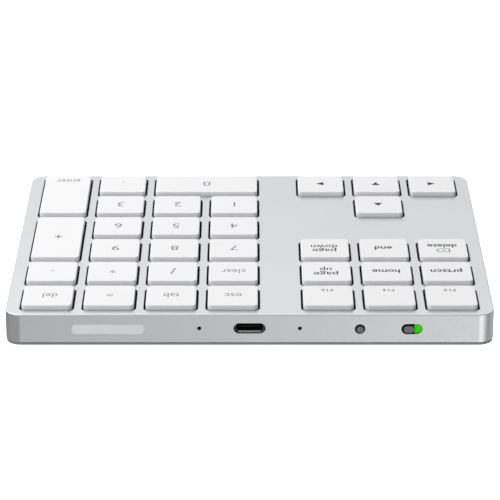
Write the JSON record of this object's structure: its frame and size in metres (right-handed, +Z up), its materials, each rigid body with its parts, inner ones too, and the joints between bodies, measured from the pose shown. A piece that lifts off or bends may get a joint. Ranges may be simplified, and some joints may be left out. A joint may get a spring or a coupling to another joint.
{
  "type": "numeric keypad",
  "caption": "Slim wireless numeric keypad with a cursor and editing block, low-profile keys in an aluminium housing, a USB-C socket, a pairing button and a power slider at the rear.",
  "frame": {"origin": "centre of the keypad's footprint, on the surface that it stands on", "axes": "+X to the user's right along the long side, +Y to the rear wall with the ports, +Z up out of the keys"},
  "size_m": [0.15, 0.1182, 0.0121],
  "materials": {
    "housing_aluminium": "bead blasted and clear anodised, fine satin",
    "cover_plastic": "fine moulded texture, matte",
    "foot_rubber": "matte",
    "keycap_plastic": "fine satin",
    "window_plastic": "painted satin",
    "control_plastic": "fine moulded texture",
    "marker_plastic": "satin",
    "plate_steel": "rolled sheet",
    "wire_steel": "drawn wire",
    "port_steel": "drawn and plated",
    "screw_steel": "black zinc",
    "contact_plastic": "moulded",
    "lens_plastic": "smoked, polished",
    "dome_silicone": "matte",
    "circuit_film": "printed film",
    "switch_plastic": "moulded",
    "board_laminate": "solder mask",
    "battery_foil": "crimped foil pouch",
    "legend_ink": "printed legend"
  },
  "bodies": {
    "housing": {"antenna_window": "window_plastic", "battery": "battery_foil", "bottom_cover": "cover_plastic", "charge_led_lens": "lens_plastic", "cover_screw_front_left": "screw_steel", "cover_screw_front_right": "screw_steel", "cover_screw_rear_left": "screw_steel", "cover_screw_rear_right": "screw_steel", "dome_sheet": "dome_silicone", "front_foot_strip": "foot_rubber", "key_support_plate": "plate_steel", "main_board": "board_laminate", "membrane_circuit": "circuit_film", "pairing_switch": "switch_plastic", "power_switch_body": "switch_plastic", "rear_foot_strip": "foot_rubber", "status_led_lens": "lens_plastic", "top_housing": "housing_aluminium", "usb_c_shell": "port_steel", "usb_c_tongue": "contact_plastic"},
    "key_left": {"key_left": "keycap_plastic"},
    "key_down": {"key_down": "keycap_plastic"},
    "key_right": {"key_right": "keycap_plastic"},
    "key_up": {"key_up": "keycap_plastic"},
    "key_delete": {"key_delete": "keycap_plastic"},
    "key_end": {"key_end": "keycap_plastic"},
    "key_page_down": {"key_page_down": "keycap_plastic"},
    "key_prtscn": {"key_prtscn": "keycap_plastic"},
    "key_home": {"key_home": "keycap_plastic"},
    "key_page_up": {"key_page_up": "keycap_plastic"},
    "key_f13": {"key_f13": "keycap_plastic"},
    "key_f14": {"key_f14": "keycap_plastic"},
    "key_f15": {"key_f15": "keycap_plastic"},
    "key_0": {"key_0": "keycap_plastic"},
    "key_dot": {"key_dot": "keycap_plastic"},
    "key_enter": {"key_enter": "keycap_plastic"},
    "key_1": {"key_1": "keycap_plastic"},
    "key_2": {"key_2": "keycap_plastic"},
    "key_3": {"key_3": "keycap_plastic"},
    "key_4": {"key_4": "keycap_plastic"},
    "key_5": {"key_5": "keycap_plastic"},
    "key_6": {"key_6": "keycap_plastic"},
    "key_plus": {"key_plus": "keycap_plastic"},
    "key_7": {"key_7": "keycap_plastic"},
    "key_8": {"key_8": "keycap_plastic"},
    "key_9": {"key_9": "keycap_plastic"},
    "key_clear": {"key_clear": "keycap_plastic"},
    "key_slash": {"key_slash": "keycap_plastic"},
    "key_asterisk": {"key_asterisk": "keycap_plastic"},
    "key_minus": {"key_minus": "keycap_plastic"},
    "key_esc": {"key_esc": "keycap_plastic"},
    "key_tab": {"key_tab": "keycap_plastic"},
    "key_equals": {"key_equals": "keycap_plastic"},
    "key_del": {"key_del": "keycap_plastic"},
    "stabiliser_0_bar": {"stabiliser_key_0": "wire_steel"},
    "stabiliser_enter_bar": {"stabiliser_key_enter": "wire_steel"},
    "stabiliser_plus_bar": {"stabiliser_key_plus": "wire_steel"},
    "pairing_button": {"pairing_button": "control_plastic"},
    "power_slider": {"power_slider": "control_plastic", "power_on_marker": "marker_plastic"}
  },
  "joints": [
    {"name": "press_key_left", "type": "slide", "parent": "housing", "child": "key_left", "axis": [0, 0, -1], "range_m": [0, 0.0014], "stiffness_N_per_m": 200, "springref_m": -0.001, "deforming": ["dome_sheet"]},
    {"name": "press_key_down", "type": "slide", "parent": "housing", "child": "key_down", "axis": [0, 0, -1], "range_m": [0, 0.0014], "stiffness_N_per_m": 200, "springref_m": -0.001, "deforming": ["dome_sheet"]},
    {"name": "press_key_right", "type": "slide", "parent": "housing", "child": "key_right", "axis": [0, 0, -1], "range_m": [0, 0.0014], "stiffness_N_per_m": 200, "springref_m": -0.001, "deforming": ["dome_sheet"]},
    {"name": "press_key_up", "type": "slide", "parent": "housing", "child": "key_up", "axis": [0, 0, -1], "range_m": [0, 0.0014], "stiffness_N_per_m": 200, "springref_m": -0.001, "deforming": ["dome_sheet"]},
    {"name": "press_key_delete", "type": "slide", "parent": "housing", "child": "key_delete", "axis": [0, 0, -1], "range_m": [0, 0.0014], "stiffness_N_per_m": 200, "springref_m": -0.001, "deforming": ["dome_sheet"]},
    {"name": "press_key_end", "type": "slide", "parent": "housing", "child": "key_end", "axis": [0, 0, -1], "range_m": [0, 0.0014], "stiffness_N_per_m": 200, "springref_m": -0.001, "deforming": ["dome_sheet"]},
    {"name": "press_key_page_down", "type": "slide", "parent": "housing", "child": "key_page_down", "axis": [0, 0, -1], "range_m": [0, 0.0014], "stiffness_N_per_m": 200, "springref_m": -0.001, "deforming": ["dome_sheet"]},
    {"name": "press_key_prtscn", "type": "slide", "parent": "housing", "child": "key_prtscn", "axis": [0, 0, -1], "range_m": [0, 0.0014], "stiffness_N_per_m": 200, "springref_m": -0.001, "deforming": ["dome_sheet"]},
    {"name": "press_key_home", "type": "slide", "parent": "housing", "child": "key_home", "axis": [0, 0, -1], "range_m": [0, 0.0014], "stiffness_N_per_m": 200, "springref_m": -0.001, "deforming": ["dome_sheet"]},
    {"name": "press_key_page_up", "type": "slide", "parent": "housing", "child": "key_page_up", "axis": [0, 0, -1], "range_m": [0, 0.0014], "stiffness_N_per_m": 200, "springref_m": -0.001, "deforming": ["dome_sheet"]},
    {"name": "press_key_f13", "type": "slide", "parent": "housing", "child": "key_f13", "axis": [0, 0, -1], "range_m": [0, 0.0014], "stiffness_N_per_m": 200, "springref_m": -0.001, "deforming": ["dome_sheet"]},
    {"name": "press_key_f14", "type": "slide", "parent": "housing", "child": "key_f14", "axis": [0, 0, -1], "range_m": [0, 0.0014], "stiffness_N_per_m": 200, "springref_m": -0.001, "deforming": ["dome_sheet"]},
    {"name": "press_key_f15", "type": "slide", "parent": "housing", "child": "key_f15", "axis": [0, 0, -1], "range_m": [0, 0.0014], "stiffness_N_per_m": 200, "springref_m": -0.001, "deforming": ["dome_sheet"]},
    {"name": "press_key_0", "type": "slide", "parent": "housing", "child": "key_0", "axis": [0, 0, -1], "range_m": [0, 0.0014], "stiffness_N_per_m": 200, "springref_m": -0.001, "deforming": ["dome_sheet"]},
    {"name": "press_key_dot", "type": "slide", "parent": "housing", "child": "key_dot", "axis": [0, 0, -1], "range_m": [0, 0.0014], "stiffness_N_per_m": 200, "springref_m": -0.001, "deforming": ["dome_sheet"]},
    {"name": "press_key_enter", "type": "slide", "parent": "housing", "child": "key_enter", "axis": [0, 0, -1], "range_m": [0, 0.0014], "stiffness_N_per_m": 200, "springref_m": -0.001, "deforming": ["dome_sheet"]},
    {"name": "press_key_1", "type": "slide", "parent": "housing", "child": "key_1", "axis": [0, 0, -1], "range_m": [0, 0.0014], "stiffness_N_per_m": 200, "springref_m": -0.001, "deforming": ["dome_sheet"]},
    {"name": "press_key_2", "type": "slide", "parent": "housing", "child": "key_2", "axis": [0, 0, -1], "range_m": [0, 0.0014], "stiffness_N_per_m": 200, "springref_m": -0.001, "deforming": ["dome_sheet"]},
    {"name": "press_key_3", "type": "slide", "parent": "housing", "child": "key_3", "axis": [0, 0, -1], "range_m": [0, 0.0014], "stiffness_N_per_m": 200, "springref_m": -0.001, "deforming": ["dome_sheet"]},
    {"name": "press_key_4", "type": "slide", "parent": "housing", "child": "key_4", "axis": [0, 0, -1], "range_m": [0, 0.0014], "stiffness_N_per_m": 200, "springref_m": -0.001, "deforming": ["dome_sheet"]},
    {"name": "press_key_5", "type": "slide", "parent": "housing", "child": "key_5", "axis": [0, 0, -1], "range_m": [0, 0.0014], "stiffness_N_per_m": 200, "springref_m": -0.001, "deforming": ["dome_sheet"]},
    {"name": "press_key_6", "type": "slide", "parent": "housing", "child": "key_6", "axis": [0, 0, -1], "range_m": [0, 0.0014], "stiffness_N_per_m": 200, "springref_m": -0.001, "deforming": ["dome_sheet"]},
    {"name": "press_key_plus", "type": "slide", "parent": "housing", "child": "key_plus", "axis": [0, 0, -1], "range_m": [0, 0.0014], "stiffness_N_per_m": 200, "springref_m": -0.001, "deforming": ["dome_sheet"]},
    {"name": "press_key_7", "type": "slide", "parent": "housing", "child": "key_7", "axis": [0, 0, -1], "range_m": [0, 0.0014], "stiffness_N_per_m": 200, "springref_m": -0.001, "deforming": ["dome_sheet"]},
    {"name": "press_key_8", "type": "slide", "parent": "housing", "child": "key_8", "axis": [0, 0, -1], "range_m": [0, 0.0014], "stiffness_N_per_m": 200, "springref_m": -0.001, "deforming": ["dome_sheet"]},
    {"name": "press_key_9", "type": "slide", "parent": "housing", "child": "key_9", "axis": [0, 0, -1], "range_m": [0, 0.0014], "stiffness_N_per_m": 200, "springref_m": -0.001, "deforming": ["dome_sheet"]},
    {"name": "press_key_clear", "type": "slide", "parent": "housing", "child": "key_clear", "axis": [0, 0, -1], "range_m": [0, 0.0014], "stiffness_N_per_m": 200, "springref_m": -0.001, "deforming": ["dome_sheet"]},
    {"name": "press_key_slash", "type": "slide", "parent": "housing", "child": "key_slash", "axis": [0, 0, -1], "range_m": [0, 0.0014], "stiffness_N_per_m": 200, "springref_m": -0.001, "deforming": ["dome_sheet"]},
    {"name": "press_key_asterisk", "type": "slide", "parent": "housing", "child": "key_asterisk", "axis": [0, 0, -1], "range_m": [0, 0.0014], "stiffness_N_per_m": 200, "springref_m": -0.001, "deforming": ["dome_sheet"]},
    {"name": "press_key_minus", "type": "slide", "parent": "housing", "child": "key_minus", "axis": [0, 0, -1], "range_m": [0, 0.0014], "stiffness_N_per_m": 200, "springref_m": -0.001, "deforming": ["dome_sheet"]},
    {"name": "press_key_esc", "type": "slide", "parent": "housing", "child": "key_esc", "axis": [0, 0, -1], "range_m": [0, 0.0014], "stiffness_N_per_m": 200, "springref_m": -0.001, "deforming": ["dome_sheet"]},
    {"name": "press_key_tab", "type": "slide", "parent": "housing", "child": "key_tab", "axis": [0, 0, -1], "range_m": [0, 0.0014], "stiffness_N_per_m": 200, "springref_m": -0.001, "deforming": ["dome_sheet"]},
    {"name": "press_key_equals", "type": "slide", "parent": "housing", "child": "key_equals", "axis": [0, 0, -1], "range_m": [0, 0.0014], "stiffness_N_per_m": 200, "springref_m": -0.001, "deforming": ["dome_sheet"]},
    {"name": "press_key_del", "type": "slide", "parent": "housing", "child": "key_del", "axis": [0, 0, -1], "range_m": [0, 0.0014], "stiffness_N_per_m": 200, "springref_m": -0.001, "deforming": ["dome_sheet"]},
    {"name": "turn_stabiliser_0", "type": "hinge", "parent": "housing", "child": "stabiliser_0_bar", "pos_m": [0.01471, -0.0509, 0.00925], "axis": [-1, 0, 0], "range_deg": [0, 10.1]},
    {"name": "turn_stabiliser_enter", "type": "hinge", "parent": "housing", "child": "stabiliser_enter_bar", "pos_m": [0.05906, -0.0381, 0.00925], "axis": [0, 1, 0], "range_deg": [0, 10.1]},
    {"name": "turn_stabiliser_plus", "type": "hinge", "parent": "housing", "child": "stabiliser_plus_bar", "pos_m": [0.05906, 0, 0.00925], "axis": [0, 1, 0], "range_deg": [0, 10.1]},
    {"name": "press_pairing_button", "type": "slide", "parent": "housing", "child": "pairing_button", "axis": [0, -1, 0], "range_m": [0, 0.0005], "stiffness_N_per_m": 800, "springref_m": -0.0003},
    {"name": "slide_power_switch", "type": "slide", "parent": "housing", "child": "power_slider", "axis": [-1, 0, 0], "range_m": [0, 0.0021]}
  ],
  "couplings": [
    {"joint": "turn_stabiliser_0", "follows": "press_key_0", "rad_per_m": 125.63},
    {"joint": "turn_stabiliser_enter", "follows": "press_key_enter", "rad_per_m": 125.63},
    {"joint": "turn_stabiliser_plus", "follows": "press_key_plus", "rad_per_m": 125.63}
  ]
}
